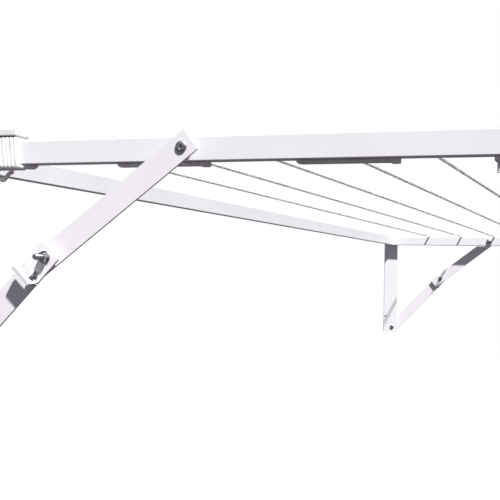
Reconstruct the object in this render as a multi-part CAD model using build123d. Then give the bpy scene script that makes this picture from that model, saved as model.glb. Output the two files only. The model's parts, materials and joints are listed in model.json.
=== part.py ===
"""Fold-down wall clothes line: two wall brackets, one hinged drying frame, two folding struts."""
import os
from math import atan2, degrees, hypot, radians, sin, sqrt, tan

from build123d import *

os.makedirs("parts", exist_ok=True)

# ---------------------------------------------------------------- driving dimensions (mm)
# Frame of the part: +X to the right seen from the front, wall plane Y = 0, front faces -Y, +Z up.
# "out" is the distance out from the wall, so Y = -out.
frame_width = 2400.0        # over the outer faces of the side arms
frame_depth = 750.0         # wall to the front end of the side arms
arm_z = 132.0               # mid-height of the drying frame above the bolt pattern's centre
tube_h = 26.0
tube_w = 18.0
tube_wall = 1.6
tube_round = 1.2

hinge_out = 31.0            # frame hinge, on the frame's mid-height
beam_front_out = 33.5       # front face of the rear beam
beam_deep = 12.0            # rear beam, front to back
arm_rear_out = 15.0
rail_front_out = 744.0

strut_top_out = 332.0       # strut pivot on the side arm, at mid-height
foot_out = 28.0             # strut pivot on the wall bracket
foot_drop = 274.0           # below the frame's mid-height
upper_length = 191.7        # strut top pivot to knee
lower_length = 218.8        # foot pivot to knee

bracket_depth = 42.0
bracket_height = 312.0
bracket_wall = 2.5
bracket_top = 24.0          # above the frame's mid-height
bracket_gap = 5.4           # side arm to the bracket's inner flange
bracket_inside = 20.0       # clear width between the flanges
wall_hole_r = 4.5
wall_hole_pitch = 220.0

link_depth = 3.2
upper_width = 26.0
upper_tail = 28.0           # past the knee
upper_head = 13.0           # past the top pivot
lower_width = 27.0
lower_head = 10.5           # past the knee
lower_foot = 12.0           # past the foot pivot
bolt_stands = 20.0          # knee bolt past the link's face

pivot_r = 4.0
run_gap = 0.06              # radial clearance of a turning joint
fix_gap = 0.02              # radial clearance of a fixed bolt

cord_r = 2.4
line_first = 148.0          # first line out from the wall
line_pitch = 100.8
line_count = 6
bend_r = 5.0                # centre-line radius where the line turns
down_r = 5.0                # the same where it goes down through the arm
line_hole_r = 4.7           # where the line goes down through the left arm
wrap_pitch = 5.0            # spare line wound round the left arm
wrap_turns = 7
wrap_start = 130.0

cleat_half = 14.0
cleat_front = 129.0
cleat_gap = 5.4             # arm to the underside of the horns
cleat_thick = 8.2

clip_len = 10.0
clip_wide = 14.0
clip_high = 3.2

# ---------------------------------------------------------------- layers outward from the arm's outer face
half = frame_width / 2
flange_in = bracket_gap
flange_out = flange_in + bracket_wall
upper_in = flange_out + 5.1
upper_out = upper_in + link_depth
head_out = upper_out + 4.5
lower_in = head_out + 0.1
lower_out = lower_in + link_depth
outer_in = flange_out + bracket_inside
outer_out = outer_in + bracket_wall
bracket_mid = (flange_in + outer_out) / 2


def spot(t, out, z):
    """Right-hand side location: t outward from the arm's outer face, z from the frame's mid-height."""
    return Pos(half + t, -out, arm_z + z)


def block(t0, t1, out0, out1, z0, z1):
    """Box between two layers, two distances from the wall and two heights."""
    mid = spot((t0 + t1) / 2, (out0 + out1) / 2, (z0 + z1) / 2)
    return mid * Box(abs(t1 - t0), abs(out1 - out0), abs(z1 - z0))


def rod(t0, t1, out, z, r):
    """Round bar along X."""
    return spot((t0 + t1) / 2, out, z) * (Rot(0, 90, 0) * Cylinder(r, abs(t1 - t0)))


def hexagon(t0, t1, out, z, across):
    """Hexagonal nut body along X."""
    shape = extrude(RegularPolygon(across / sqrt(3), 6), amount=abs(t1 - t0))
    body = Rot(0, 90, 0) * shape
    return spot(min(t0, t1), out, z) * body


def pan_head(r, high):
    """Pan head on the XY plane with a cross recess, pointing +Z."""
    head = Pos(0, 0, high / 2) * Cylinder(r, high)
    head = fillet(head.edges().group_by(Axis.Z)[-1], high * 0.42)
    slot = Pos(0, 0, high) * Box(r * 1.05, 1.5, high * 0.9)
    return head - slot - Rot(0, 0, 90) * slot


def export_pair(solid, name):
    """Write a right-hand piece and its mirror image."""
    solid.label = "right_" + name
    export_step(solid, "parts/right_" + name + ".step")
    other = mirror(solid, about=Plane.YZ)
    other.label = "left_" + name
    export_step(other, "parts/left_" + name + ".step")


def export_one(solid, name):
    solid.label = name
    export_step(solid, "parts/" + name + ".step")


def knee_point():
    """Knee position (out, z) above the straight line from foot to strut top, so it locks past centre."""
    d_out = strut_top_out - foot_out
    d_z = foot_drop
    d = hypot(d_out, d_z)
    along = (lower_length ** 2 - upper_length ** 2 + d ** 2) / (2 * d)
    side = sqrt(lower_length ** 2 - along ** 2)
    out = foot_out + along * d_out / d - side * d_z / d
    z = -foot_drop + along * d_z / d + side * d_out / d
    return out, z


knee_out, knee_z = knee_point()


# ---------------------------------------------------------------- wall bracket
def wall_bracket():
    z1 = bracket_top
    z0 = bracket_top - bracket_height
    shell = block(flange_in, outer_out, 0, bracket_depth, z0, z1)
    shell = fillet(shell.edges().filter_by(Axis.Z).group_by(Axis.Y)[-1], 2.5)
    shell -= block(flange_out, outer_in, bracket_wall, bracket_depth + 1, z0 - 1, z1 - bracket_wall)
    corners = shell.edges().filter_by(Axis.X).group_by(Axis.Y)[0]
    corners = [e for e in corners if e.length < bracket_wall + 0.5]
    shell = fillet(corners, 4.0)
    for z in (-wall_hole_pitch / 2, wall_hole_pitch / 2):
        hole = Pos(half + bracket_mid, 0, z) * (Rot(90, 0, 0) * Cylinder(wall_hole_r, 12))
        shell -= hole
    shell -= block(outer_in, outer_out + 1, bracket_depth - 6, bracket_depth + 1, z0 - 1, z1 + 1)
    shell -= rod(flange_in - 1, flange_out + 1, hinge_out, 0, pivot_r + run_gap)
    shell -= rod(flange_in - 1, outer_out + 1, foot_out, -foot_drop, pivot_r + fix_gap)
    shell -= rod(flange_in - 1, flange_out + 1, bracket_wall + 4.0, -240, 3.5)
    return shell


export_pair(wall_bracket(), "wall_bracket")


# ---------------------------------------------------------------- foot pivot on the bracket
def foot_bolt():
    shank = rod(flange_in, outer_out + 6.5, foot_out, -foot_drop, pivot_r)
    shank = chamfer(shank.edges().group_by(Axis.X)[-1], 0.6)
    head = Rot(0, -90, 0) * pan_head(6.4, 2.8)
    return shank + spot(flange_in, foot_out, -foot_drop) * head


def foot_nut():
    nut = hexagon(outer_out, outer_out + 5, foot_out, -foot_drop, 12)
    return nut - rod(outer_out - 1, outer_out + 6, foot_out, -foot_drop, pivot_r + fix_gap)


def foot_sleeve():
    t1 = lower_in - 0.3
    sleeve = rod(flange_out, t1, foot_out, -foot_drop, 6.2)
    return sleeve - rod(flange_out - 1, t1 + 1, foot_out, -foot_drop, pivot_r + fix_gap)


export_pair(foot_bolt(), "foot_bolt")
export_pair(foot_nut(), "foot_nut")
export_pair(foot_sleeve(), "foot_sleeve")


# ---------------------------------------------------------------- drying frame tubes
line_outs = [line_first + line_pitch * i for i in range(line_count)]
cap_plate = 3.0
arm_front = frame_depth - cap_plate
line_x = half - tube_w / 2


def tube_y(t_mid, out0, out1):
    """Rectangular tube along Y."""
    size = out1 - out0
    bar = spot(t_mid, (out0 + out1) / 2, 0) * Box(tube_w, size, tube_h)
    bar = fillet(bar.edges().filter_by(Axis.Y), tube_round)
    hollow = Box(tube_w - 2 * tube_wall, size + 2, tube_h - 2 * tube_wall)
    return bar - spot(t_mid, (out0 + out1) / 2, 0) * hollow


def tube_x(front_out, deep, x0, x1):
    """Rectangular tube along X, its front face at front_out."""
    size = x1 - x0
    where = Pos((x0 + x1) / 2, deep / 2 - front_out, arm_z)
    bar = where * Box(size, deep, tube_h)
    bar = fillet(bar.edges().filter_by(Axis.X), tube_round)
    hollow = Box(size + 2, deep - 2 * tube_wall, tube_h - 2 * tube_wall)
    return bar - where * hollow


def side_arm(through_lines):
    arm = tube_y(-tube_w / 2, arm_rear_out, arm_front)
    arm -= rod(-tube_wall - 1, 1, hinge_out, 0, pivot_r + fix_gap)
    arm -= rod(-tube_w - 1, 1, strut_top_out, 0, pivot_r + fix_gap)
    for out in through_lines:
        arm -= spot(-tube_w / 2, out, 0) * Cylinder(line_hole_r, tube_h + 4)
    return arm


right_arm = side_arm([])
export_one(right_arm, "right_side_arm")
export_one(mirror(side_arm(line_outs), about=Plane.YZ), "left_side_arm")

inner = half - tube_w
export_one(tube_x(beam_front_out, beam_deep, -inner, inner), "rear_beam")
export_one(tube_x(rail_front_out, tube_w, -inner, inner), "front_rail")


def end_cap(front):
    """Plastic cap: a plate as big as the tube and a plug inside it."""
    if front:
        plate = block(-tube_w, 0, arm_front, frame_depth, -tube_h / 2, tube_h / 2)
        edge = plate.faces().sort_by(Axis.Y)[0].edges()
        plug = block(-tube_w + tube_wall, -tube_wall, arm_front - 10, arm_front, -11.4, 11.4)
    else:
        plate = block(-tube_w, 0, arm_rear_out - 2, arm_rear_out, -tube_h / 2, tube_h / 2)
        edge = plate.faces().sort_by(Axis.Y)[-1].edges()
        plug = block(-tube_w + tube_wall, -tube_wall, arm_rear_out, arm_rear_out + 5, -11.4, 11.4)
    return fillet(edge, 1.2) + plug


export_pair(end_cap(True), "front_cap")
export_pair(end_cap(False), "rear_cap")


# ---------------------------------------------------------------- frame hinge and strut top pivot
def hinge_insert():
    body = block(-tube_w + tube_wall, -tube_wall, hinge_out - 9, hinge_out + 9, -11.4, 11.4)
    return body - rod(-tube_w, 0, hinge_out, 0, pivot_r + fix_gap)


def hinge_bolt():
    shank = rod(-tube_w + tube_wall + 0.5, flange_out + 0.3, hinge_out, 0, pivot_r)
    head = Rot(0, 90, 0) * pan_head(6.4, 3.5)
    return shank + spot(flange_out + 0.3, hinge_out, 0) * head


def ring(t0, t1, out, z, r, bore):
    return rod(t0, t1, out, z, r) - rod(t0 - 1, t1 + 1, out, z, bore)


def strut_bolt():
    shank = rod(-tube_w - 5.6, upper_out + 0.2, strut_top_out, 0, pivot_r)
    shank = chamfer(shank.edges().group_by(Axis.X)[0], 0.6)
    head = Rot(0, 90, 0) * pan_head(6.3, 4.0)
    return shank + spot(upper_out + 0.2, strut_top_out, 0) * head


def strut_nut():
    nut = hexagon(-tube_w - 4.4, -tube_w, strut_top_out, 0, 13)
    nut = fillet(nut.edges().group_by(Axis.X)[0], 0.5)
    return nut - rod(-tube_w - 8, -tube_w + 1, strut_top_out, 0, pivot_r + fix_gap)


export_pair(hinge_insert(), "hinge_insert")
export_pair(hinge_bolt(), "hinge_bolt")
export_pair(ring(0, flange_in - 0.2, hinge_out, 0, 9.5, pivot_r + fix_gap), "hinge_washer")
export_pair(strut_bolt(), "strut_bolt")
export_pair(strut_nut(), "strut_nut")
export_pair(ring(0, upper_in - 0.2, strut_top_out, 0, 7.0, pivot_r + fix_gap), "strut_spacer")


# ---------------------------------------------------------------- folding strut links
def link_bar(before, after, size, width, t_in):
    """Flat bar lying along +Y, its first pivot at the origin."""
    total = before + size + after
    bar = Pos(t_in + link_depth / 2, (size + after - before) / 2, 0) * Box(link_depth, total, width)
    bar = fillet(bar.edges().filter_by(Axis.X), 1.5)
    for y in (0, size):
        bar -= Pos(t_in, y, 0) * (Rot(0, 90, 0) * Cylinder(pivot_r + run_gap, 30))
    return bar


def lay(solid, start, end):
    """Turn a piece that lies along +Y so that it runs from start to end, each (out, z)."""
    turn = degrees(atan2(end[1] - start[1], start[0] - end[0]))
    return Pos(half, -start[0], arm_z + start[1]) * (Rot(turn, 0, 0) * solid)


top_point = (strut_top_out, 0.0)
foot_point = (foot_out, -foot_drop)
knee = (knee_out, knee_z)

upper_size = (upper_head, upper_tail, upper_length, upper_width, upper_in)
export_pair(lay(link_bar(*upper_size), top_point, knee), "upper_link")

lower_size = (lower_foot, lower_head, lower_length, lower_width, lower_in)
latch_at = lower_length - 26.6
window = Pos(lower_out, latch_at + 3.2, 4.5) * Box(14, 11.6, 4.6)
export_pair(lay(link_bar(*lower_size) - window, foot_point, knee), "lower_link")


# ---------------------------------------------------------------- knee: one stub on each link
def knee_bush():
    """Upper link's half of the knee: a round head inboard, and a bush outboard of the link."""
    head = Rot(0, -90, 0) * pan_head(6.0, 3.4)
    core = rod(upper_in - 0.1, upper_out + 0.1, knee_out, knee_z, pivot_r)
    bush = rod(upper_out + 0.05, lower_in - 0.4, knee_out, knee_z, 7.0)
    return spot(upper_in - 0.05, knee_out, knee_z) * head + core + bush


def knee_bolt():
    """Lower link's half of the knee: the bolt through the link and out through the nut."""
    shank = rod(lower_in, lower_out + bolt_stands, knee_out, knee_z, pivot_r - 0.7)
    return chamfer(shank.edges().group_by(Axis.X)[-1], 0.7)


def knee_nut():
    washer = rod(lower_out, lower_out + 1.4, knee_out, knee_z, 7.2)
    nut = hexagon(lower_out + 1.3, lower_out + 7.0, knee_out, knee_z, 10)
    bore = rod(lower_out - 1, lower_out + 9, knee_out, knee_z, pivot_r - 0.7 + fix_gap)
    return washer + nut - bore


export_pair(knee_bush(), "knee_bush")
export_pair(knee_bolt(), "knee_bolt")
export_pair(knee_nut(), "knee_nut")


# ---------------------------------------------------------------- latch on the lower link
plate_near = 3.6            # lever plate, measured out from the pin
plate_far = 12.2
plate_thick = 3.6
plate_low = -14.0           # across the link
plate_high = 14.2
leg_wide = 2.6
lever_lean = 6.0            # the closed lever leans towards the foot
latch_pin_t = lower_out + 3.5
latch_pin_r = 1.5


def latch_lugs():
    """Lug on the lower link between the lever's legs, with the pin across the link."""
    lug = Pos(lower_out + 3.0, latch_at, 8.7) * Box(6.0, 6.4, 5.2)
    lug = fillet(lug.edges().filter_by(Axis.Z).group_by(Axis.X)[-1], 2.4)
    pin = Pos(latch_pin_t, latch_at, 8.7) * Cylinder(latch_pin_r, 12.6)
    return lug + pin


def latch_lever():
    """Leaning plate on two legs that turn on the pin, one of them ending in a hook."""
    height = plate_high - plate_low
    plate = Pos((plate_near + plate_far) / 2, 0, (plate_high + plate_low) / 2)
    lever = plate * Box(plate_far - plate_near, plate_thick, height)
    lever = fillet(lever.edges().filter_by(Axis.Y), 1.2)
    leg_places = (plate_high - leg_wide / 2, plate_high - 9.7)
    for side in leg_places:
        lever += Pos(plate_near / 2 + 0.3, 0, side) * Box(plate_near + 0.6, plate_thick, leg_wide)
    lever = Pos(latch_pin_t, latch_at, 0) * (Rot(0, 0, -lever_lean) * lever)
    for side in leg_places:
        lever += Pos(latch_pin_t, latch_at, side) * Cylinder(latch_pin_r + 1.6, leg_wide)
    hook_from = lower_in + 0.4
    hook_long = latch_pin_t - hook_from
    lever += Pos(hook_from + hook_long / 2, latch_at + 2.4, leg_places[1]) * Box(hook_long, 2.4, leg_wide)
    return lever - Pos(latch_pin_t, latch_at, 8.7) * Cylinder(latch_pin_r + run_gap, 20.0)


export_pair(lay(latch_lugs(), foot_point, knee), "latch_pin")
export_pair(lay(latch_lever(), foot_point, knee), "latch_lever")


# ---------------------------------------------------------------- line fittings
run_z = tube_h / 2 + cord_r + 0.05
low_z = -tube_h / 2 - cord_r - 0.15


def clip(out, through):
    """Moulded clip on top of an arm with a slot for the line."""
    top = tube_h / 2
    body = block(-tube_w / 2 - clip_wide / 2, -tube_w / 2 + clip_wide / 2,
                 out - clip_len / 2, out + clip_len / 2, top, top + clip_high)
    body = chamfer(body.edges().filter_by(Axis.X).group_by(Axis.Z)[-1], 1.4)
    slot = block(-tube_w, -tube_w / 2, out - cord_r - 0.15, out + cord_r + 0.15, top - 1, top + 6)
    body -= slot
    body -= spot(-tube_w / 2, out, top) * Cylinder(cord_r + 0.15, 12)
    if not through:
        way = 1 if line_outs.index(out) % 2 == 0 else -1
        far = out + way * clip_len
        near = out - way * (cord_r + 0.15)
        body -= block(-tube_w, -tube_w / 2 + cord_r + 0.15, near, far, top - 1, top + 6)
    return body


right_clips = Compound(children=[clip(out, False) for out in line_outs])
export_one(right_clips, "right_line_clips")
left_clips = Compound(children=[mirror(clip(out, True), about=Plane.YZ) for out in line_outs])
export_one(left_clips, "left_line_clips")


def line_stop(out):
    """Small moulded stop under the arm, threaded on the line."""
    top = -tube_h / 2
    body = block(-tube_w / 2 - 4.5, -tube_w / 2 + 4.5, out - 4.5, out + 4.5, top - 5.6, top - 0.05)
    body = fillet(body.edges().group_by(Axis.Z)[0], 1.3)
    body -= spot(-tube_w / 2, out, top) * Cylinder(cord_r + 0.1, 12)
    if out < line_outs[-1]:
        groove = cord_r + 0.1
        body -= block(-tube_w / 2 - groove, -tube_w / 2 + groove, out - 9, out, top - 9, top + 1)
    return body


stops = [mirror(line_stop(line_outs[i]), about=Plane.YZ) for i in (2, 4, 5)]
export_one(Compound(children=stops), "line_stops")


def line_cleat():
    """Horn cleat on top of the left arm; the spare line is wound under its front horn."""
    top = tube_h / 2
    middle = -tube_w / 2
    stem = block(middle - 5, middle + 5, 80, 92, top, top + cleat_gap + 1)
    horn = block(middle - cleat_half, middle + cleat_half, 60, cleat_front,
                 top + cleat_gap, top + cleat_gap + cleat_thick)
    horn = fillet(horn.edges().filter_by(Axis.Y), 1.2)
    horn = fillet(horn.edges().filter_by(Axis.Z), 1.5)
    return mirror(stem + horn, about=Plane.YZ)


export_one(line_cleat(), "line_cleat")


# ---------------------------------------------------------------- the line itself
def along(points, radius, r=cord_r):
    """Round line through the points, every corner rounded to one centre-line radius."""
    edges = []
    here = Vector(*points[0])
    for i in range(1, len(points) - 1):
        corner = Vector(*points[i])
        back = (Vector(*points[i - 1]) - corner).normalized()
        on = (Vector(*points[i + 1]) - corner).normalized()
        bend = back.get_angle(on)
        cut = radius / tan(radians(bend) / 2)
        a = corner + back * cut
        b = corner + on * cut
        mid_way = (back + on).normalized()
        rise = radius / sin(radians(bend) / 2) - radius
        if (a - here).length > 0.01:
            edges.append(Line(here, a))
        edges.append(ThreePointArc(a, corner + mid_way * rise, b))
        here = b
    edges.append(Line(here, Vector(*points[-1])))
    path = Wire(edges)
    start = Plane(origin=path @ 0, z_dir=path % 0)
    return sweep(start * Circle(r), path=path, transition=Transition.ROUND)


def place(x, out, z):
    return (x, -out, arm_z + z)


left_x = -line_x
run_left = left_x + bend_r + 0.01
run_right = line_x - bend_r - 0.01


def line_run(out):
    size = run_right - run_left
    return Pos((run_left + run_right) / 2, -out, arm_z + run_z) * (Rot(0, 90, 0) * Cylinder(cord_r, size))


for letter, out in zip("abcdef", line_outs):
    export_one(line_run(out), "line_run_" + letter)


def right_bend(out0, out1):
    """Line turning round two clips on top of the right arm."""
    return along([place(run_right, out0, run_z), place(line_x, out0, run_z),
                  place(line_x, out1, run_z), place(run_right, out1, run_z)], bend_r)


def left_bend(out0, out1):
    """Line going down through the left arm, along under it and up again."""
    return along([place(run_left, out0, run_z), place(left_x, out0, run_z), place(left_x, out0, low_z),
                  place(left_x, out1, low_z), place(left_x, out1, run_z), place(run_left, out1, run_z)],
                 down_r)


bends = [right_bend(line_outs[i], line_outs[i + 1]) for i in (0, 2, 4)]
bends += [left_bend(line_outs[i], line_outs[i + 1]) for i in (1, 3)]
last = line_outs[-1]
tail = along([place(run_left, last, run_z), place(left_x, last, run_z), place(left_x, last, -29)], down_r)
export_one(Compound(children=bends + [tail]), "line_bends")


def line_wrap():
    """Spare line: down through the arm at the first clip, then wound round the arm."""
    out_x = -half - cord_r - 0.15
    in_x = -half + tube_w + cord_r + 0.15
    first = line_outs[0]
    route = [place(run_left, first, run_z), place(left_x, first, run_z), place(left_x, first, low_z - 0.3)]
    y = wrap_start
    for turn in range(wrap_turns):
        route.append(place(out_x, y, low_z))
        route.append(place(out_x, y - 0.75 * wrap_pitch, run_z))
        route.append(place(in_x, y - 0.9 * wrap_pitch, run_z))
        route.append(place(in_x, y - wrap_pitch, low_z))
        y -= wrap_pitch
    route.append(place(-half + 4, y, low_z))
    return along(route, 2.6)


def wrap_loop():
    """End of the spare line, left hanging in a small loop under the winding."""
    x = -half + 5.0
    z = low_z - 2 * cord_r - 0.2
    return along([place(x, 120, z), place(x, 115, z - 2.5), place(x, 107.5, -29.6),
                  place(x, 100, z - 2.5), place(x, 96, z)], 2.6)


export_one(line_wrap(), "line_winding")
export_one(wrap_loop(), "line_loop")
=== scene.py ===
import json
import math

import bmesh
import bpy
from mathutils import Matrix, Vector, noise


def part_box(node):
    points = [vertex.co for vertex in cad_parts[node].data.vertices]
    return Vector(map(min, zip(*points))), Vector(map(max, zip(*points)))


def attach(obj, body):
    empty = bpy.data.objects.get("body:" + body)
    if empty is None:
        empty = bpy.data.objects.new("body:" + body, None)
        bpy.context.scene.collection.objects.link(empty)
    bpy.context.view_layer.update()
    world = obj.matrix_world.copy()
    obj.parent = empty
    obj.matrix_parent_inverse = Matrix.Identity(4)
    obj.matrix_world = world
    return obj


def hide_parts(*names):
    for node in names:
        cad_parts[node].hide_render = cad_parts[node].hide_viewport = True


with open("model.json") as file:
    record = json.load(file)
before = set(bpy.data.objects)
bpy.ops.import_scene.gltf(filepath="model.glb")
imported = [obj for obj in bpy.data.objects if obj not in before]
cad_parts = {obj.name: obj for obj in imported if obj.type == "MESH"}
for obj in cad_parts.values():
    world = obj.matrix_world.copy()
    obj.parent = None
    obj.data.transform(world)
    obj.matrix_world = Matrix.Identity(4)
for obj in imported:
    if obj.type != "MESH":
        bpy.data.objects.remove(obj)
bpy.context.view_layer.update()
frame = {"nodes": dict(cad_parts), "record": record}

MM = 0.001
nodes = frame["nodes"]
scene = bpy.context.scene
scene.view_settings.view_transform = "Standard"


# ---------------------------------------------------------------- camera
def add_camera():
    """Camera close to the left arm's outer side, looking along the frame to its far end."""
    place = Vector((-2.2556, -0.7818, -0.0052))
    yaw, pitch, roll = (math.radians(a) for a in (19.699, 1.627, 1.136))
    forward = Vector((math.cos(pitch) * math.cos(yaw), math.cos(pitch) * math.sin(yaw),
                      math.sin(pitch)))
    right = Vector((math.sin(yaw), -math.cos(yaw), 0))
    up = right.cross(forward)
    rolled_right = right * math.cos(roll) + up * math.sin(roll)
    rolled_up = up * math.cos(roll) - right * math.sin(roll)
    camera = bpy.data.objects.new("camera", bpy.data.cameras.new("camera"))
    camera.data.sensor_width = 36.0
    camera.data.lens = 79.2
    turn = Matrix((rolled_right, rolled_up, -forward)).transposed().to_4x4()
    camera.matrix_world = Matrix.Translation(place) @ turn
    scene.collection.objects.link(camera)
    scene.camera = camera


add_camera()


# ---------------------------------------------------------------- the line
# These are part.py's dimensions, in millimetres.
half_width = 1200.0
arm_height = 132.0          # height of the frame's middle over the origin
arm_thick = 18.0
cord_r = 2.4
cord_gap = 0.15             # between the line and the arm that it is wound on
line_outs = [148.0 + 100.8 * i for i in range(6)]
line_x = half_width - arm_thick / 2
run_z = 15.45               # line on top of an arm, above the frame's mid-height
low_z = -15.55              # line under an arm
clip_lead = 20.0            # point on a run before it turns round a clip
hole_lead = 9.0             # the same before it goes down through the arm


def spot(x, out, z):
    """Point in metres, from a distance out from the wall and a height over the frame's middle."""
    return Vector((x, -out, arm_height + z)) * MM


def right_turn(out, next_out):
    """Round two clips on top of the right arm."""
    step = math.copysign(clip_lead / 2, next_out - out)
    return [spot(line_x - clip_lead, out, run_z), spot(line_x, out, run_z),
            spot(line_x, out + step, run_z), spot(line_x, next_out - step, run_z),
            spot(line_x, next_out, run_z), spot(line_x - clip_lead, next_out, run_z)]


def left_turn(out, next_out):
    """Down through the left arm, along under it and up again."""
    step = math.copysign(hole_lead, next_out - out)
    return [spot(hole_lead - line_x, out, run_z), spot(-line_x, out, run_z),
            spot(-line_x, out, run_z - hole_lead), spot(-line_x, out, low_z + hole_lead),
            spot(-line_x, out, low_z), spot(-line_x, out + step, low_z),
            spot(-line_x, next_out - step, low_z), spot(-line_x, next_out, low_z),
            spot(-line_x, next_out, low_z + hole_lead), spot(-line_x, next_out, run_z - hole_lead),
            spot(-line_x, next_out, run_z), spot(hole_lead - line_x, next_out, run_z)]


def winding():
    """Spare line: down through the first hole and seven turns round the left arm."""
    turns, pitch, start = 7, 5.0, 130.0
    lead = 3.0                  # point on a side of the arm before its corner
    unevenness = 0.22
    entry_z = low_z - 0.3
    outer = -half_width - cord_r - cord_gap
    inner = -half_width + arm_thick + cord_r + cord_gap
    first = line_outs[0]
    points = [spot(hole_lead - line_x, first, run_z), spot(-line_x, first, run_z),
              spot(-line_x, first, run_z - hole_lead), spot(-line_x, first, low_z + hole_lead),
              spot(-line_x, first, entry_z), spot(-line_x - 1.5, first - hole_lead, entry_z)]
    for turn in range(turns):
        out = start - turn * pitch
        wave = unevenness * math.sin(2.4 * turn)
        points += [spot(outer + lead, out, low_z), spot(outer, out, low_z),
                   spot(outer - wave * 0.3, out - 0.1 * pitch, low_z + lead),
                   spot(outer, out - 0.65 * pitch + wave, run_z - lead),
                   spot(outer, out - 0.75 * pitch, run_z),
                   spot(outer + lead, out - 0.78 * pitch, run_z),
                   spot(inner - lead, out - 0.87 * pitch, run_z),
                   spot(inner, out - 0.9 * pitch, run_z),
                   spot(inner, out - 0.92 * pitch, run_z - lead),
                   spot(inner, out - 0.98 * pitch, low_z + lead),
                   spot(inner, out - pitch, low_z), spot(inner - lead, out - pitch, low_z)]
    return points + [spot(-half_width + 4, start - turns * pitch, low_z)]


def line_route():
    """The whole line, from its tail at the front to the end of the winding."""
    last = line_outs[-1]
    tail_z = -29.0
    points = [spot(-line_x, last, tail_z), spot(-line_x, last, -20), spot(-line_x, last, -6),
              spot(-line_x, last, run_z - hole_lead), spot(-line_x, last, run_z),
              spot(hole_lead - line_x, last, run_z)]
    for i in (5, 3, 1):
        points += right_turn(line_outs[i], line_outs[i - 1])
        if i > 1:
            points += left_turn(line_outs[i - 1], line_outs[i - 2])
    return points + winding()


def loop_route():
    """Loop of spare line hanging under the winding."""
    x = -half_width + 5.0
    z = low_z - 2 * cord_r - 0.2
    bottom = -29.6
    return [spot(x, 120, z), spot(x, 116, z - 1.2), spot(x, 112, z - 6.0), spot(x, 109, bottom),
            spot(x, 105.5, bottom), spot(x, 102, z - 5.6), spot(x, 99, z - 1.4), spot(x, 96, z)]


def cord_curve(name, points):
    """Round line on a smooth spline through the route."""
    data = bpy.data.curves.new(name, "CURVE")
    data.dimensions = "3D"
    spline = data.splines.new("NURBS")
    spline.points.add(len(points) - 1)
    for knot, point in zip(spline.points, points):
        knot.co = (*point, 1.0)
        knot.radius = cord_r * MM
    spline.order_u = 3
    spline.use_endpoint_u = True
    spline.resolution_u = 8
    # The tube's radius is this times each point's own, and the point's own also sizes the box.
    data.bevel_depth = 1.0
    data.bevel_resolution = 5
    data.use_fill_caps = True
    piece = bpy.data.objects.new(name, data)
    scene.collection.objects.link(piece)
    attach(piece, "drying_frame")
    return piece


drying_line = cord_curve("drying_line", line_route())
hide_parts("line_bends", "line_winding", *("line_run_" + c for c in "abcdef"))
spare_loop = cord_curve("spare_line_loop", loop_route())
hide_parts("line_loop")


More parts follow.
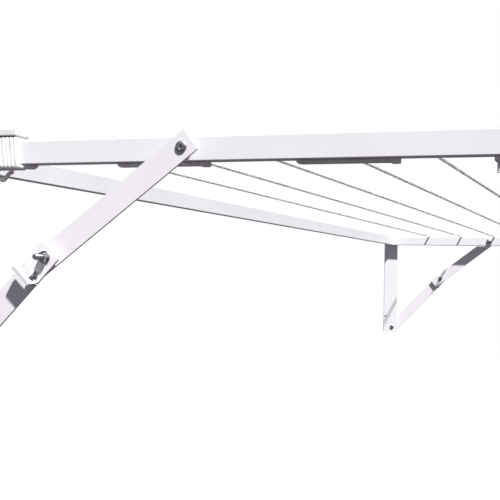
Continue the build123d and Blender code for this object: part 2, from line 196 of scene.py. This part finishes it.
# ---------------------------------------------------------------- material nodes
class Shader:
    """A material's node tree, with short calls for the nodes used here."""

    def __init__(self, name):
        self.material = bpy.data.materials.new(name)
        self.material.use_nodes = True
        self.tree = self.material.node_tree
        self.tree.nodes.clear()
        self.surface = self.add("ShaderNodeBsdfPrincipled")
        output = self.add("ShaderNodeOutputMaterial")
        self.tree.links.new(self.surface.outputs["BSDF"], output.inputs["Surface"])
        self.place = self.add("ShaderNodeTexCoord").outputs["Object"]

    def add(self, kind, **values):
        node = self.tree.nodes.new(kind)
        for key, value in values.items():
            setattr(node, key, value)
        return node

    def link(self, source, node, socket):
        self.tree.links.new(source, node.inputs[socket])

    def stretched(self, scale):
        mapping = self.add("ShaderNodeMapping")
        self.link(self.place, mapping, "Vector")
        mapping.inputs["Scale"].default_value = scale
        return mapping.outputs["Vector"]

    def noise(self, scale, detail=3.0, rough=0.5, source=None):
        node = self.add("ShaderNodeTexNoise")
        self.link(source or self.place, node, "Vector")
        node.inputs["Scale"].default_value = scale
        node.inputs["Detail"].default_value = detail
        node.inputs["Roughness"].default_value = rough
        return node.outputs["Fac"]

    def span(self, source, low, high, to_low=0.0, to_high=1.0):
        """Source mapped from low..high to to_low..to_high, held inside it."""
        node = self.add("ShaderNodeMapRange")
        self.link(source, node, "Value")
        limits = {"From Min": low, "From Max": high, "To Min": to_low, "To Max": to_high}
        for socket, value in limits.items():
            node.inputs[socket].default_value = value
        return node.outputs["Result"]

    def maths(self, operation, a, b):
        node = self.add("ShaderNodeMath", operation=operation)
        for i, value in enumerate((a, b)):
            if isinstance(value, (int, float)):
                node.inputs[i].default_value = value
            else:
                self.tree.links.new(value, node.inputs[i])
        return node.outputs["Value"]

    def mix(self, factor, a, b):
        """Colour from a to b; each is a colour or another node's output."""
        node = self.add("ShaderNodeMix", data_type="RGBA")
        self.tree.links.new(factor, node.inputs["Factor"])
        colour_a, colour_b, colour_out = 6, 7, 2    # a Mix node's colour sockets, by number
        for i, value in ((colour_a, a), (colour_b, b)):
            if isinstance(value, tuple):
                node.inputs[i].default_value = (*value, 1.0)
            else:
                self.tree.links.new(value, node.inputs[i])
        return node.outputs[colour_out]

    def edges(self, radius):
        """1 along convex and concave edges, 0 on flat faces; also gives the softened normal."""
        bevel = self.add("ShaderNodeBevel", samples=4)
        bevel.inputs["Radius"].default_value = radius
        flat = self.add("ShaderNodeNewGeometry")
        dot = self.add("ShaderNodeVectorMath", operation="DOT_PRODUCT")
        self.tree.links.new(bevel.outputs["Normal"], dot.inputs[0])
        self.tree.links.new(flat.outputs["Normal"], dot.inputs[1])
        flat_at, edge_at = 1.0, 0.86
        return self.span(dot.outputs["Value"], flat_at, edge_at), bevel.outputs["Normal"]

    def bump(self, height, distance, strength, normal=None):
        node = self.add("ShaderNodeBump")
        self.link(height, node, "Height")
        node.inputs["Distance"].default_value = distance
        node.inputs["Strength"].default_value = strength
        if normal is not None:
            self.link(normal, node, "Normal")
        self.link(node.outputs["Normal"], self.surface, "Normal")

    def moved(self, offset):
        """Shift every pattern that is made after this, so that no two finishes share one."""
        node = self.add("ShaderNodeVectorMath", operation="ADD")
        self.tree.links.new(self.place, node.inputs[0])
        node.inputs[1].default_value = offset
        self.place = node.outputs["Vector"]

    def values(self, **sockets):
        for name, value in sockets.items():
            self.surface.inputs[name.replace("_", " ")].default_value = value


def scaled(colour, tint):
    """A colour times a tint, no channel over 1."""
    return tuple(min(1.0, c * t) for c, t in zip(colour, tint))


def powder_coat(name, white, shift):
    """White powder coat: orange-peel skin, chalky patches, scuffs and thin paint at the edges."""
    s = Shader(name)
    s.moved((shift, shift * 0.7, 0))
    edge, soft = s.edges(0.0007)
    patch = s.span(s.noise(9.0, 4.0, 0.6), 0.35, 0.7)
    speck = s.span(s.noise(260.0, 2.0, 0.5), 0.70, 0.78, 0.0, 0.35)
    chalk = scaled(white, (0.955, 0.955, 0.965))
    grime = (0.50, 0.47, 0.43)
    primer = (0.66, 0.66, 0.68)
    worn = s.span(s.noise(55.0, 4.0, 0.65), 0.56, 0.72)
    colour = s.mix(patch, white, chalk)
    colour = s.mix(speck, colour, grime)
    colour = s.mix(s.maths("MULTIPLY", s.maths("MULTIPLY", edge, worn), 0.55), colour, primer)
    s.link(colour, s.surface, "Base Color")
    s.link(s.span(s.noise(38.0, 5.0, 0.6), 0.3, 0.7, 0.33, 0.48), s.surface, "Roughness")
    orange_peel = s.noise(520.0, 2.0, 0.4)
    scratch = s.noise(70.0, 3.0, 0.7, s.stretched((0.15, 0.4, 4.0)))
    height = s.maths("ADD", orange_peel, s.maths("MULTIPLY", scratch, 0.4))
    s.bump(height, 0.00006, 0.5, soft)
    s.values(Coat_Weight=0.12, Coat_Roughness=0.25, Specular_IOR_Level=0.45)
    return s.material


def moulded_plastic(name, tint, shift):
    """Weathered moulded plastic: fine spark-eroded grain, slow yellowing, dull rubbed edges."""
    s = Shader(name)
    s.moved((shift, 0, shift * 0.4))
    edge, soft = s.edges(0.0005)
    aged = scaled(tint, (0.97, 0.955, 0.915))
    rubbed = scaled(tint, (1.06, 1.06, 1.06))
    colour = s.mix(s.span(s.noise(14.0, 3.0), 0.35, 0.7), tint, aged)
    colour = s.mix(s.maths("MULTIPLY", edge, 0.35), colour, rubbed)
    s.link(colour, s.surface, "Base Color")
    s.link(s.span(s.noise(90.0, 4.0), 0.3, 0.7, 0.42, 0.58), s.surface, "Roughness")
    s.bump(s.noise(1500.0, 3.0, 0.6), 0.00003, 0.6, soft)
    s.surface.subsurface_method = "BURLEY"
    s.values(Subsurface_Weight=0.35, Subsurface_Scale=0.004, IOR=1.49,
             Subsurface_Radius=(1.0, 0.95, 0.9))
    return s.material


def zinc_steel(name, tone, rough, axis_scale):
    """Zinc-plated steel: turned grain, passivation clouds, rust specks, brighter worn edges."""
    s = Shader(name)
    edge, soft = s.edges(0.0003)
    cloud = s.span(s.noise(130.0, 4.0, 0.6), 0.35, 0.7)
    dull = scaled(tone, (0.62, 0.60, 0.58))
    bright = scaled(tone, (1.3, 1.3, 1.3))
    rust = (0.20, 0.13, 0.09)
    colour = s.mix(cloud, tone, dull)
    rusted = s.span(s.noise(420.0, 4.0, 0.7), 0.66, 0.78, 0.0, 0.5)
    colour = s.mix(rusted, colour, rust)
    colour = s.mix(s.maths("MULTIPLY", edge, 0.5), colour, bright)
    s.link(colour, s.surface, "Base Color")
    grain = s.noise(900.0, 2.0, 0.5, s.stretched(axis_scale))
    s.link(s.span(grain, 0.3, 0.7, rough - 0.07, rough + 0.1), s.surface, "Roughness")
    s.bump(grain, 0.00002, 0.5, soft)
    s.values(Metallic=1.0, Anisotropic=0.3)
    return s.material


def line_cover(name):
    """Soft PVC cover of the line: drawn streaks along it, dusty patches, a fine ripple."""
    s = Shader(name)
    streak = s.noise(600.0, 3.0, 0.6, s.stretched((0.02, 1.0, 1.0)))
    dusty = s.span(s.noise(70.0, 4.0, 0.65), 0.42, 0.72)
    clean, drawn, dust = (0.87, 0.868, 0.86), (0.77, 0.765, 0.755), (0.62, 0.61, 0.585)
    colour = s.mix(s.span(streak, 0.3, 0.7), clean, drawn)
    colour = s.mix(s.maths("MULTIPLY", dusty, 0.4), colour, dust)
    s.link(colour, s.surface, "Base Color")
    s.link(s.span(s.noise(220.0, 3.0), 0.3, 0.7, 0.34, 0.52), s.surface, "Roughness")
    ripple = s.maths("ADD", s.noise(900.0, 2.0), s.maths("MULTIPLY", streak, 0.6))
    s.bump(ripple, 0.00005, 0.6)
    s.surface.subsurface_method = "BURLEY"
    s.values(Subsurface_Weight=0.8, Subsurface_Scale=0.008, IOR=1.53,
             Subsurface_Radius=(1.0, 1.0, 0.97))
    return s.material


finishes = {
    "frame_white": powder_coat("frame_powder_coat", (0.850, 0.842, 0.885), 0.0),
    "strut_white": powder_coat("strut_powder_coat", (0.865, 0.850, 0.880), 3.1),
    "bracket_white": powder_coat("bracket_powder_coat", (0.930, 0.922, 0.945), 7.7),
    "plastic_white": moulded_plastic("moulded_white", (0.79, 0.785, 0.80), 1.3),
    "screw_steel": zinc_steel("zinc_plated_steel", (0.62, 0.62, 0.65), 0.30, (6.0, 0.4, 0.4)),
    "line_pvc": line_cover("line_pvc_cover"),
}
dark_steel = zinc_steel("dark_screw_steel", (0.52, 0.51, 0.55), 0.42, (4.0, 1.0, 1.0))


def finish(piece, material):
    """Give every face of the piece one material."""
    piece.data.materials.clear()
    piece.data.materials.append(material)


for row in frame["record"]["subparts"]:
    finish(nodes[row["node"]], finishes[row["material_slot"]])
for piece in (drying_line, spare_loop):
    finish(piece, finishes["line_pvc"])


# ---------------------------------------------------------------- turned and hexagonal pieces
sides = {"left": -1, "right": 1}
thread_pitch = 1.25 * MM
thread_steps = 6                # rings to a turn of thread
crease = math.radians(32)       # edges sharper than this aren't smoothed
same_place = 0.001 * MM         # corners nearer than this are one


def add_piece(name, bm, body, slot, material, *replaced):
    """Close the mesh into an object that rides on a body and stands for CAD nodes."""
    bmesh.ops.remove_doubles(bm, verts=bm.verts, dist=same_place)
    bmesh.ops.recalc_face_normals(bm, faces=bm.faces)
    data = bpy.data.meshes.new(name)
    bm.to_mesh(data)
    bm.free()
    data.shade_smooth()
    data.set_sharp_from_angle(angle=crease)
    piece = bpy.data.objects.new(name, data)
    scene.collection.objects.link(piece)
    finish(piece, material)
    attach(piece, body)
    if replaced:
        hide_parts(*replaced)
    return piece


def skin(bm, rings):
    """Faces between rings of vertices; a ring of one vertex closes an end."""
    for low, high in zip(rings, rings[1:]):
        count = max(len(low), len(high))
        for i in range(count):
            j = (i + 1) % count
            corners = [low[i % len(low)], low[j % len(low)],
                       high[j % len(high)], high[i % len(high)]]
            unique = [v for k, v in enumerate(corners) if v not in corners[:k]]
            if len(unique) > 2:
                bm.faces.new(unique)


def ring_at(bm, x, centre, radius, segments=48):
    """Ring of vertices about X; radius is a number or a function of the angle."""
    if radius == 0:
        return [bm.verts.new((x, centre.y, centre.z))]
    verts = []
    for i in range(segments):
        angle = math.tau * i / segments
        r = radius(angle) if callable(radius) else radius
        place = (x, centre.y + r * math.cos(angle), centre.z + r * math.sin(angle))
        verts.append(bm.verts.new(place))
    return verts


def threaded(start, stop, centre_r, depth):
    """Profile points of a rolled thread from start to stop."""
    steps = max(2, round(abs(stop - start) / thread_pitch * thread_steps))
    points = []
    for i in range(steps + 1):
        x = start + (stop - start) * i / steps
        fade = min(1.0, i / thread_steps, (steps - i) / thread_steps)

        def radius(angle, x=x, fade=fade):
            phase = (x / thread_pitch - angle / math.tau) % 1.0
            return centre_r - depth * fade * (1 - abs(2 * phase - 1)) ** 0.8

        points.append((x, radius))
    return points


def domed(base, top, radius):
    """Profile of a pan head: a short upright rim under a flattened dome."""
    rim, steps = 0.25, 8
    shoulder = base + (top - base) * rim
    points = [(base, radius * 0.96), (base + (shoulder - base) * 0.3, radius)]
    for i in range(steps + 1):
        turn = math.pi / 2 * i / steps
        x = shoulder + (top - shoulder) * math.sin(turn)
        points.append((x, radius * math.cos(turn) ** 0.55))
    points[-1] = (top, 0)
    return points


def node_box(node):
    """Inner and outer distance from the middle plane, and the centre, of a CAD node."""
    low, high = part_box(node)
    inner, outer = sorted((abs(low.x), abs(high.x)))
    return inner, outer, (low + high) / 2


def cross_cutter(x_top, depth, centre, arm, half_slot):
    """Tapered cross that cuts a driver recess."""
    bm = bmesh.new()
    outline = [(half_slot, half_slot), (half_slot, arm), (-half_slot, arm)]
    tilt = math.radians(20)
    rings = []
    for x, scale in ((x_top, 1.15), (x_top - depth, 0.5)):
        ring = []
        for quarter in range(4):
            turn = Matrix.Rotation(math.pi / 2 * quarter + tilt, 2)
            for y, z in outline:
                p = turn @ Vector((y * scale, z * scale))
                ring.append(bm.verts.new((x, centre.y + p.x, centre.z + p.y)))
        rings.append(ring)
    skin(bm, rings)
    for ring in rings:
        bm.faces.new(ring)
    bmesh.ops.remove_doubles(bm, verts=bm.verts, dist=same_place)
    bmesh.ops.recalc_face_normals(bm, faces=bm.faces)
    data = bpy.data.meshes.new("cutter")
    bm.to_mesh(data)
    bm.free()
    cutter = bpy.data.objects.new("cutter", data)
    scene.collection.objects.link(cutter)
    return cutter


def cut(piece, cutter):
    """Take the cutter out of the piece and keep the result as its mesh."""
    change = piece.modifiers.new("recess", "BOOLEAN")
    change.object = cutter
    change.solver = "EXACT"
    bpy.context.view_layer.update()
    evaluated = piece.evaluated_get(bpy.context.evaluated_depsgraph_get())
    made = bpy.data.meshes.new_from_object(evaluated)
    piece.modifiers.clear()
    piece.data = made
    made.set_sharp_from_angle(angle=crease)
    bpy.data.objects.remove(cutter)


def pan_screw(name, node, body, head, head_r, steel, head_outward=True, trim=0.0):
    """Cross-recessed pan-head screw with a rolled thread at its far end.

    head is the CAD head's height, head_r its radius, and trim how much lower the dome's top is.
    """
    inner, outer, centre = node_box(node)
    sign = math.copysign(1, centre.x)
    if head_outward:
        tip, top = sign * inner, sign * outer
    else:
        tip, top = sign * outer, sign * inner
    way = math.copysign(1, top - tip)
    base = top - way * head
    top -= way * trim
    shank = 3.95 * MM
    recess = 2.3 * MM
    above = 0.3 * MM
    bm = bmesh.new()
    profile = [(tip, 0), (tip, shank * 0.78), (tip + way * 0.7 * MM, shank * 0.96)]
    profile += threaded(tip + way * 0.9 * MM, tip + way * 10 * MM, shank, 0.45 * MM)
    profile += [(base, shank)] + domed(base, top, head_r)
    skin(bm, [ring_at(bm, x, centre, r) for x, r in profile])
    piece = add_piece(name, bm, body, "screw_steel", steel, node)
    cut(piece, cross_cutter(top + way * above, way * recess, centre, head_r * 0.5, head_r * 0.13))


def hex_radius(across):
    """Radius of a hexagon at an angle, corners a touch rounded."""
    def radius(angle):
        turn = (angle % (math.pi / 3)) - math.pi / 6
        return min(across / 2 / math.cos(turn), across / 2 * 1.135)
    return radius


def hex_nut(name, body, x0, x1, centre, across, bore, collar=0.0, replaced=()):
    """Hexagon nut from x0 (seat) to x1, chamfered, with a rolled collar when collar is set."""
    segments = 72
    way = math.copysign(1, x1 - x0)
    corner = hex_radius(across)
    face = across / 2 * 0.95
    slope = 0.5
    top = x1 - way * collar
    bm = bmesh.new()

    def ring(x, radius):
        return ring_at(bm, x, centre, radius, segments)

    rings = [ring(x0, bore), ring(x0, face)]
    for x, toward in ((x0, -way), (top, way)):
        rings.append(ring(x, corner))
        for i, vert in enumerate(rings[-1]):
            past_face = max(0.0, corner(math.tau * i / segments) - face)
            vert.co.x = x - toward * past_face * slope
    rings.append(ring(top, face))
    if collar:
        rings.append(ring(top, face * 0.9))
        rings.append(ring(x1 - way * collar * 0.4, face * 0.88))
        rings.append(ring(x1, face * 0.74))
    rings.append(ring(x1, bore * 1.1))
    rings.append(ring(x1 - way * 0.4 * MM, bore))
    rings.append(rings[0])
    skin(bm, rings)
    add_piece(name, bm, body, "screw_steel", finishes["screw_steel"], *replaced)


def washer(name, body, x0, x1, centre, radius, bore, *replaced):
    """Stamped washer with one rolled edge and one sharp one."""
    way = math.copysign(1, x1 - x0)
    lip = abs(x1 - x0) * 0.4
    bm = bmesh.new()
    profile = [(x0, bore), (x0, radius * 0.985), (x0 + way * lip * 0.3, radius),
               (x1 - way * lip, radius), (x1 - way * lip * 0.3, radius * 0.985),
               (x1, radius * 0.955), (x1, bore * 1.04), (x1 - way * lip * 0.5, bore)]
    rings = [ring_at(bm, x, centre, r, 64) for x, r in profile]
    skin(bm, rings + [rings[0]])
    add_piece(name, bm, body, "screw_steel", finishes["screw_steel"], *replaced)


def knee_stud(side):
    """Threaded end of the knee bolt that stands out past its nut."""
    inner, outer, centre = node_box(side + "_knee_bolt")
    sign = sides[side]
    radius = 3.3 * MM
    bm = bmesh.new()
    start, stop = sign * inner, sign * outer
    profile = [(start, 0), (start, radius)]
    profile += threaded(start + sign * 8 * MM, stop - sign * 0.9 * MM, radius, 0.5 * MM)
    profile += [(stop, radius * 0.74), (stop, 0)]
    skin(bm, [ring_at(bm, x, centre, r, 40) for x, r in profile])
    add_piece(side + "_knee_stud", bm, side + "_lower_strut", "screw_steel",
              finishes["screw_steel"], side + "_knee_bolt")


def knee_fixings(side):
    """Washer and nut on the knee bolt."""
    inner, outer, centre = node_box(side + "_knee_nut")
    sign = sides[side]
    body = side + "_lower_strut"
    washer_thick = 1.4 * MM
    seat = inner + washer_thick
    bore = 3.34 * MM
    washer(side + "_knee_washer", body, sign * inner, sign * seat, centre, 7.2 * MM, bore,
           side + "_knee_nut")
    hex_nut(side + "_knee_hex_nut", body, sign * seat, sign * outer, centre, 10 * MM, bore,
            replaced=(side + "_knee_nut",))


def lock_nut(name, node, body, across, outward):
    """Locking nut with its collar away from the work."""
    inner, outer, centre = node_box(node)
    sign = math.copysign(1, centre.x)
    seat, end = (inner, outer) if outward else (outer, inner)
    bore, collar = 4.02 * MM, 1.5 * MM
    hex_nut(name, body, sign * seat, sign * end, centre, across, bore, collar, (node,))


for side in sides:
    pan_screw(side + "_strut_screw", side + "_strut_bolt", "drying_frame", 4.0 * MM, 6.3 * MM,
              dark_steel, trim=1.7 * MM)
    pan_screw(side + "_foot_screw", side + "_foot_bolt", "wall_brackets", 2.8 * MM, 6.4 * MM,
              finishes["screw_steel"], False)
    lock_nut(side + "_strut_lock_nut", side + "_strut_nut", "drying_frame", 13 * MM, False)
    lock_nut(side + "_foot_lock_nut", side + "_foot_nut", "wall_brackets", 12 * MM, True)
    knee_stud(side)
    knee_fixings(side)


# ---------------------------------------------------------------- weld beads at the frame's corners
def weld_bead(name, side, node):
    """Rippled bead round the end of a cross tube where it meets the side arm."""
    low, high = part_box(node)
    sign = sides[side]
    x = sign * high.x
    bead_r = 1.1 * MM
    corner = 1.5 * MM
    ripple = 0.55 * MM
    around = 10
    centre = (low + high) / 2
    half_y, half_z = (high.y - low.y) / 2, (high.z - low.z) / 2
    path = []
    for cy, cz, start in ((1, 1, 0), (-1, 1, 90), (-1, -1, 180), (1, -1, 270)):
        hub = Vector((centre.y + cy * (half_y - corner), centre.z + cz * (half_z - corner)))
        for i in range(5):
            turn = math.radians(start + 22.5 * i)
            path.append(hub + Vector((math.cos(turn), math.sin(turn))) * corner)
    points = []
    for a, b in zip(path, path[1:] + path[:1]):
        count = max(1, round((b - a).length / ripple))
        points += [a.lerp(b, i / count) for i in range(count)]
    bm = bmesh.new()
    rings = []
    middle = Vector((centre.y, centre.z))
    for i, point in enumerate(points):
        before, after = points[i - 1], points[(i + 1) % len(points)]
        along = (after - before).normalized()
        normal = Vector((along.y, -along.x))
        if normal.dot(point - middle) < 0:
            normal = -normal
        lump = noise.noise(Vector((i * 0.35, sign * 3.0, half_y * 900)))
        r = bead_r * (1.0 + 0.16 * math.sin(i * 1.9) + 0.22 * lump)
        ring = []
        for k in range(around):
            turn = math.tau * k / around
            side_step = normal * (r * math.cos(turn))
            ring.append(bm.verts.new((x - sign * r * (0.35 + math.sin(turn)) * 0.75,
                                      point.x + side_step.x, point.y + side_step.y)))
        rings.append(ring)
    skin(bm, rings + [rings[0]])
    add_piece(name, bm, "drying_frame", "frame_white", finishes["frame_white"])


for side in sides:
    weld_bead(side + "_rear_weld", side, "rear_beam")
    weld_bead(side + "_front_weld", side, "front_rail")


# ---------------------------------------------------------------- light and floor
def add_sun():
    """Sun from the front, the left and high up, as the photograph's shadows have it."""
    travel = Vector((0.40, 0.425, -0.81))
    light = bpy.data.lights.new("sun", "SUN")
    light.energy = 6.9
    light.angle = math.radians(2.5)
    light.color = (1.0, 0.985, 0.96)
    lamp = bpy.data.objects.new("sun", light)
    lamp.rotation_euler = travel.to_track_quat("-Z", "Y").to_euler()
    scene.collection.objects.link(lamp)


def add_world():
    """Dim bluish sky for the light, darker and warmer from below; plain white to look at."""
    world = bpy.data.worlds.new("studio")
    world.use_nodes = True
    scene.world = world
    tree = world.node_tree
    tree.nodes.clear()
    place = tree.nodes.new("ShaderNodeTexCoord")
    height = tree.nodes.new("ShaderNodeSeparateXYZ")
    tree.links.new(place.outputs["Generated"], height.inputs["Vector"])
    ramp = tree.nodes.new("ShaderNodeValToRGB")
    below, above = ramp.color_ramp.elements
    below.position, below.color = 0.35, (0.150, 0.130, 0.140, 1)
    above.position, above.color = 0.65, (0.195, 0.205, 0.265, 1)
    shift = tree.nodes.new("ShaderNodeMapRange")
    shift.inputs["From Min"].default_value = -1.0
    tree.links.new(height.outputs["Z"], shift.inputs["Value"])
    tree.links.new(shift.outputs["Result"], ramp.inputs["Fac"])
    soft = tree.nodes.new("ShaderNodeBackground")
    tree.links.new(ramp.outputs["Color"], soft.inputs["Color"])
    white = tree.nodes.new("ShaderNodeBackground")
    white.inputs["Color"].default_value = (1, 1, 1, 1)
    seen = tree.nodes.new("ShaderNodeLightPath")
    choose = tree.nodes.new("ShaderNodeMixShader")
    tree.links.new(seen.outputs["Is Camera Ray"], choose.inputs["Fac"])
    tree.links.new(soft.outputs["Background"], choose.inputs[1])
    tree.links.new(white.outputs["Background"], choose.inputs[2])
    output = tree.nodes.new("ShaderNodeOutputWorld")
    tree.links.new(choose.outputs["Shader"], output.inputs["Surface"])


def add_floor():
    """Plain floor far below the frame: pale grey under it, white where it meets the backdrop."""
    half_side = 60.0
    depth = 4.0
    grey_out_to, white_from = 11.0, 17.0
    grey, white = (0.30, 0.30, 0.31), (0.93, 0.93, 0.93)
    bm = bmesh.new()
    bmesh.ops.create_grid(bm, x_segments=1, y_segments=1, size=half_side)
    data = bpy.data.meshes.new("floor")
    bm.to_mesh(data)
    bm.free()
    floor = bpy.data.objects.new("floor", data)
    floor.location = (0, 0, -depth)
    scene.collection.objects.link(floor)
    s = Shader("floor_pale")
    reach = s.add("ShaderNodeVectorMath", operation="LENGTH")
    s.link(s.place, reach, 0)
    far = s.span(reach.outputs["Value"], grey_out_to, white_from)
    s.link(s.mix(far, grey, white), s.surface, "Base Color")
    s.values(Roughness=0.9, Specular_IOR_Level=0.0)
    floor.data.materials.append(s.material)
    floor.visible_diffuse = False
    floor.visible_glossy = False


add_sun()
add_world()
add_floor()

bpy.context.view_layer.update()
